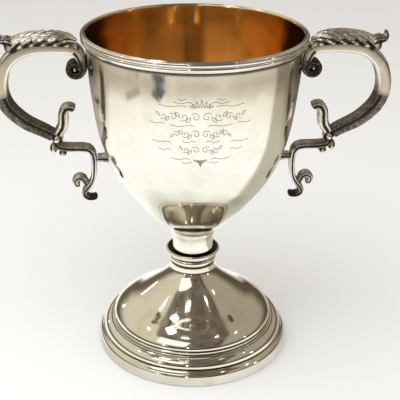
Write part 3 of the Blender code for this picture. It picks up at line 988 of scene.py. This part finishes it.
def engraving_tree(oxide):
    """Throws flat strokes back on to the bowl's wall and cuts each one as a fine line."""
    tree = bpy.data.node_groups.new("engraved_strokes", "GeometryNodeTree")
    names = group_inputs(
        tree,
        [
            ("Geometry", "Geometry"),
            ("Bowl", "Object"),
            ("Line width", "Float"),
            ("Sink", "Float"),
        ],
    )
    given = add_node(tree, "NodeGroupInput").outputs
    wall = add_node(tree, "GeometryNodeObjectInfo", {"Object": given["Bowl"]})
    ray = add_node(
        tree,
        "GeometryNodeRaycast",
        {"Target Geometry": wall.outputs["Geometry"], "Ray Direction": (0.0, 1.0, 0.0), "Ray Length": 1.0},
    )
    sink = add_node(tree, "VectorMath", {0: ray.outputs["Hit Normal"], "Scale": given["Sink"]}, "SCALE")
    spot = add_node(tree, "VectorMath", {0: ray.outputs["Hit Position"], 1: sink}, "SUBTRACT")
    laid = add_node(tree, "GeometryNodeSetPosition", {"Geometry": given["Geometry"], "Position": spot})
    half = add_node(tree, "Math", {0: given["Line width"], 1: 0.5}, "MULTIPLY")
    round_tool = add_node(tree, "GeometryNodeCurvePrimitiveCircle", {"Resolution": 6, "Radius": half})
    cut = add_node(tree, "GeometryNodeCurveToMesh", {"Curve": laid, "Profile Curve": round_tool, "Fill Caps": True})
    real = add_node(tree, "GeometryNodeRealizeInstances", {0: cut})
    done = add_node(tree, "GeometryNodeSetMaterial", {"Geometry": real, "Material": oxide})
    add_node(tree, "NodeGroupOutput", {0: done})
    return tree, names


def build_engraving(bowl, oxide):
    flat = poly_curve("strokes", [[(x, -80, z) for x, z in line] for line in cartouche()])
    tree, names = engraving_tree(oxide)
    values = {"Bowl": bowl, "Line width": ENGRAVED_LINE * MM, "Sink": ENGRAVED_LINE * 0.32 * MM}
    made = grown("engraved_scrollwork", flat, tree, names, values)
    piece(made, "bowl_silver")


# Studio


def glowing(name, hex_code, strength):
    material, tree = blank_material(name)
    light = add_node(tree, "Emission", {"Color": linear(hex_code), "Strength": strength})
    add_node(tree, "OutputMaterial", {"Surface": light})
    return material


def only_in_reflections(made):
    for ray in ("camera", "diffuse", "transmission", "shadow", "volume_scatter"):
        setattr(made, f"visible_{ray}", False)


def disc(name, radius, segments, material):
    """A round sheet that lies on the ground and faces up."""
    mesh = bpy.data.meshes.new(name)
    bm = bmesh.new()
    bmesh.ops.create_circle(bm, cap_ends=True, segments=segments, radius=radius)
    bm.to_mesh(mesh)
    bm.free()
    mesh.materials.append(material)
    return placed(name, mesh)


def card(name, centre, size, facing, material):
    """A flat card that turns its face to a point."""
    mesh = bpy.data.meshes.new(name)
    w, h = size[0] / 2, size[1] / 2
    mesh.from_pydata([(-w, -h, 0), (w, -h, 0), (w, h, 0), (-w, h, 0)], [], [(0, 1, 2, 3)])
    mesh.materials.append(material)
    made = placed(name, mesh)
    made.location = centre
    made.rotation_euler = (Vector(facing) - Vector(centre)).to_track_quat("Z", "Y").to_euler()
    only_in_reflections(made)
    return made


def direction(azimuth, elevation, distance):
    """A place seen from the cup's foot: azimuth 0 is in front (-Y) and 90 on the right (+X)."""
    a, e = math.radians(azimuth), math.radians(elevation)
    return (
        distance * math.sin(a) * math.cos(e),
        -distance * math.cos(a) * math.cos(e),
        0.03 + distance * math.sin(e),
    )


def table_glow():
    """The pale table as the silver sees it, with light and shade painted in: darker under the foot as the cup's
    shadow, brightest round the cup, creamier and dimmer further out.

    Two patches in front, left and right, stay bright further out, and the quarter behind on the right is shaded.
    """
    material, tree = blank_material("lit table top")
    place = add_node(tree, "TexCoord").outputs["Object"]
    wander = add_node(tree, "TexNoise", {"Vector": place, "Scale": 9.0, "Detail": 3.0})
    axes = add_node(tree, "SeparateXYZ", {0: place})
    far = add_node(tree, "VectorMath", {0: place}, "LENGTH")
    uneven = add_node(tree, "Math", {0: wander, 1: 0.08, 2: far.outputs["Value"]}, "MULTIPLY_ADD")
    behind = add_node(
        tree,
        "MapRange",
        {"Value": axes.outputs["Y"], "From Min": 0.08, "From Max": 0.3, "To Min": 0.0, "To Max": 0.24},
    )
    reach = add_node(tree, "Math", {0: uneven, 1: behind}, "ADD")
    aside = add_node(tree, "Math", {0: axes.outputs["X"]}, "ABSOLUTE")
    corner = add_node(
        tree, "MapRange", {"Value": aside, "From Min": 0.12, "From Max": 0.22, "To Max": 0.12}, SMOOTH
    )
    near = add_node(tree, "MapRange", {"Value": axes.outputs["Y"], "From Min": -0.36, "From Max": -0.43}, SMOOTH)
    lit = add_node(tree, "Math", {0: corner, 1: near}, "MULTIPLY")
    reach = add_node(tree, "Math", {0: reach, 1: lit}, "SUBTRACT")
    ramp = add_node(tree, "ValToRGB", {0: reach})
    elements = ramp.color_ramp.elements
    while len(elements) < len(TABLE_TONES):
        elements.new(0.5)
    for element, (at, hex_code) in zip(elements, TABLE_TONES):
        element.position = at
        element.color = linear(hex_code)
    right = add_node(tree, "MapRange", {"Value": axes.outputs["X"], "From Min": 0.04, "From Max": 0.07}, SMOOTH)
    back = add_node(tree, "MapRange", {"Value": axes.outputs["Y"], "From Min": -0.03, "From Max": -0.005}, SMOOTH)
    shaded = add_node(tree, "Math", {0: right, 1: back}, "MULTIPLY")
    toned = add_node(
        tree, "Mix", {0: shaded, 6: ramp, 7: linear("#BBB6AB")}, {"data_type": "RGBA", "blend_type": "MULTIPLY"}
    )
    light = add_node(tree, "Emission", {"Color": toned.outputs[2], "Strength": 1.1})
    add_node(tree, "OutputMaterial", {"Surface": light})
    return material


def build_reflections():
    """What the polished silver mirrors: the lit table, lamps, a window and two cloths, none of them seen directly."""
    table = disc("mirrored_table", 3.0, 96, table_glow())
    table.location.z = -0.0002
    only_in_reflections(table)
    lamp = glowing("lamp glass", "#FFFDF6", 7.0)
    for number, (azimuth, elevation, width, height) in enumerate(LAMPS):
        card(f"lamp_{number}", direction(azimuth, elevation, LAMP_DISTANCE), (width, height), (0, 0, 0.03), lamp)
    window = glowing("window light", "#FDFCF6", 1.25)
    card("window", direction(-36, 47, 1.0), (0.62, 0.42), (0, 0, 0.03), window)
    for name, hex_code, x, y, size in CLOTHS:
        cloth = glowing(name, hex_code, 1.0)
        card(name.replace(" ", "_"), (x, y, 0.002), size, (x, y, 1.0), cloth)



def build_world():
    """A plain pale studio to look at. The silver sees a brown room, dark in front, overhead and low down."""
    world = bpy.data.worlds.new("studio")
    bpy.context.scene.world = world
    world.use_nodes = True
    tree = world.node_tree
    tree.nodes.clear()
    way = add_node(tree, "TexCoord").outputs["Generated"]
    axes = add_node(tree, "SeparateXYZ", {0: way})
    cluster = add_node(tree, "TexNoise", {"Vector": way, "Scale": 4.5, "Detail": 4.0, "Roughness": 0.6})
    side = add_node(tree, "MapRange", {"Value": axes.outputs["X"], "From Min": -0.5, "From Max": 0.35}, SMOOTH)
    ceiling = add_node(tree, "Mix", {0: side, 6: linear("#DAD2BD"), 7: linear("#A89E8D")}, IN_COLOUR)
    behind = add_node(tree, "Math", {0: axes.outputs["Y"], 1: 0.5, 2: 0.06}, "MULTIPLY_ADD")
    behind = add_node(tree, "Math", {0: behind, 1: 0.0}, "MAXIMUM")
    aside = add_node(tree, "Math", {0: axes.outputs["X"]}, "ABSOLUTE")
    aside = add_node(tree, "Math", {0: aside, 1: behind}, "ADD")
    front = add_node(tree, "MapRange", {"Value": aside, "From Min": 0.60, "From Max": 0.52}, SMOOTH)
    mottled = add_node(
        tree, "MapRange", {"Value": cluster, "From Min": 0.35, "From Max": 0.65, "To Min": 0.62, "To Max": 1.0}
    )
    shadow = add_node(tree, "Math", {0: front, 1: mottled}, "MULTIPLY")
    room = add_node(tree, "Mix", {0: shadow, 6: ceiling.outputs[2], 7: linear("#574D43")}, IN_COLOUR)
    low = add_node(
        tree, "MapRange", {"Value": axes.outputs["Z"], "From Min": 0.42, "From Max": 0.1, "To Max": 0.9}, SMOOTH
    )
    walls = add_node(tree, "Mix", {0: low, 6: room.outputs[2], 7: linear("#4C433A")}, IN_COLOUR)
    direct = add_node(tree, "LightPath").outputs["Is Camera Ray"]
    seen = add_node(tree, "Mix", {0: direct, 6: walls.outputs[2], 7: linear("#D6D5D2")}, IN_COLOUR)
    sky = add_node(tree, "Background", {"Color": seen.outputs[2], "Strength": 1.0})
    add_node(tree, "OutputWorld", {"Surface": sky})


def build_floor():
    material, tree = blank_material("matt white card")
    place = add_node(tree, "TexCoord").outputs["Object"]
    grain = add_node(tree, "TexNoise", {"Vector": place, "Scale": 5.0, "Detail": 2.0})
    tone = add_node(tree, "Mix", {0: grain, 6: linear("#EBEBEC"), 7: linear("#EFEFF0")}, IN_COLOUR)
    shader = add_node(
        tree, "BsdfPrincipled", {"Base Color": tone.outputs[2], "Roughness": 0.9, "Specular IOR Level": 0.0}
    )
    add_node(tree, "OutputMaterial", {"Surface": shader})
    floor = disc("floor", 6.0, 64, material)
    floor.visible_glossy = False


def build_lights():
    """A broad lamp over the cup and an even fill, both kept out of the silver's reflections."""
    above = bpy.data.lights.new("soft_box", "AREA")
    above.shape = "RECTANGLE"
    above.size, above.size_y = 0.9, 0.7
    above.energy = 4.4
    above.color = (0.96, 0.98, 1.0)
    box = placed("soft_box", above)
    box.location = (-0.16, -0.28, 0.75)
    box.rotation_euler = (Vector((0, 0.02, 0)) - box.location).to_track_quat("-Z", "Y").to_euler()
    sun = bpy.data.lights.new("even_fill", "SUN")
    sun.energy = 1.45
    sun.color = (0.95, 0.975, 1.0)
    sun.angle = math.radians(120)
    fill = placed("even_fill", sun)
    for light in (box, fill):
        light.visible_glossy = False
        light.visible_camera = False


def build_camera():
    data = bpy.data.cameras.new("camera")
    data.lens = LENS_MM
    data.sensor_width = 36
    data.shift_y = -0.025
    data.clip_start = 0.01
    camera = placed("camera", data)
    camera.location = CAMERA_PLACE
    turn, down, roll = (math.radians(angle) for angle in (CAMERA_TURN, CAMERA_DOWN, CAMERA_ROLL))
    look = Vector((math.sin(turn) * math.cos(down), math.cos(turn) * math.cos(down), -math.sin(down)))
    camera.rotation_mode = "QUATERNION"
    camera.rotation_quaternion = look.to_track_quat("-Z", "Y") @ Quaternion((0, 0, 1), roll)
    bpy.context.scene.camera = camera


def main():
    # Spun sterling, buffed to a mirror and handled since: clean cream-white with faint warm film and fine scratches
    bowl_silver = silver_material("spun buffed sterling", "#F7F4EA", "#EFE8D8", "#5B4E3F", 0.07, 0.06, 0.05, 0.35)
    # Drawn wire soldered round the lip: brightest where hands wipe it, dark in the grooves between its reeds
    rim_silver = silver_material("drawn reeded sterling", "#F9F7F0", "#EDE6D6", "#4A4036", 0.09, 0.06, 0.01, 0.5)
    # Lathe-turned sterling with the finest of rings left by the tool
    stem_silver = silver_material(
        "lathe turned sterling", "#F7F4EA", "#EAE2D0", "#3A3026", 0.08, 0.06, 0.01, 0.5, lathe=True
    )
    foot_silver = silver_material(
        "spun foot sterling", "#F4F0E4", "#E8E0CE", "#40362B", 0.045, 0.03, 0.02, 0.5, lathe=True
    )
    # Sand-cast sterling, filed and polished by hand: softer edges, waves and more oxide in its hollows.
    # On the leaf, that oxide also serves as painted shade under and between the blades
    strap_silver = silver_material("cast polished sterling", "#F5F1E6", "#E3D9C5", "#3E352C", 0.12, 0.10, 0.10, 0.7)
    chased_silver = silver_material("cast chased sterling", "#F3EFE3", "#DDD2BC", "#453C32", 0.16, 0.12, 0.06, 0.6)
    oxide = silver_material("oxidised engraving", "#9C968A", "#857C6E", "#5A5147", 0.35, 0.1, 0.01, 0.4)
    gilt = gilt_material()

    bowl = build_body(bowl_silver, rim_silver, stem_silver, foot_silver, gilt)
    build_engraving(bowl, oxide)
    for side in ("right", "left"):
        build_handle(side, strap_silver, chased_silver)
    for blades in leaf_blades(chased_silver):
        piece(blades, "chased_silver")

    build_floor()
    build_reflections()
    build_world()
    build_lights()
    build_camera()
    bpy.context.scene.view_settings.view_transform = "Standard"


main()
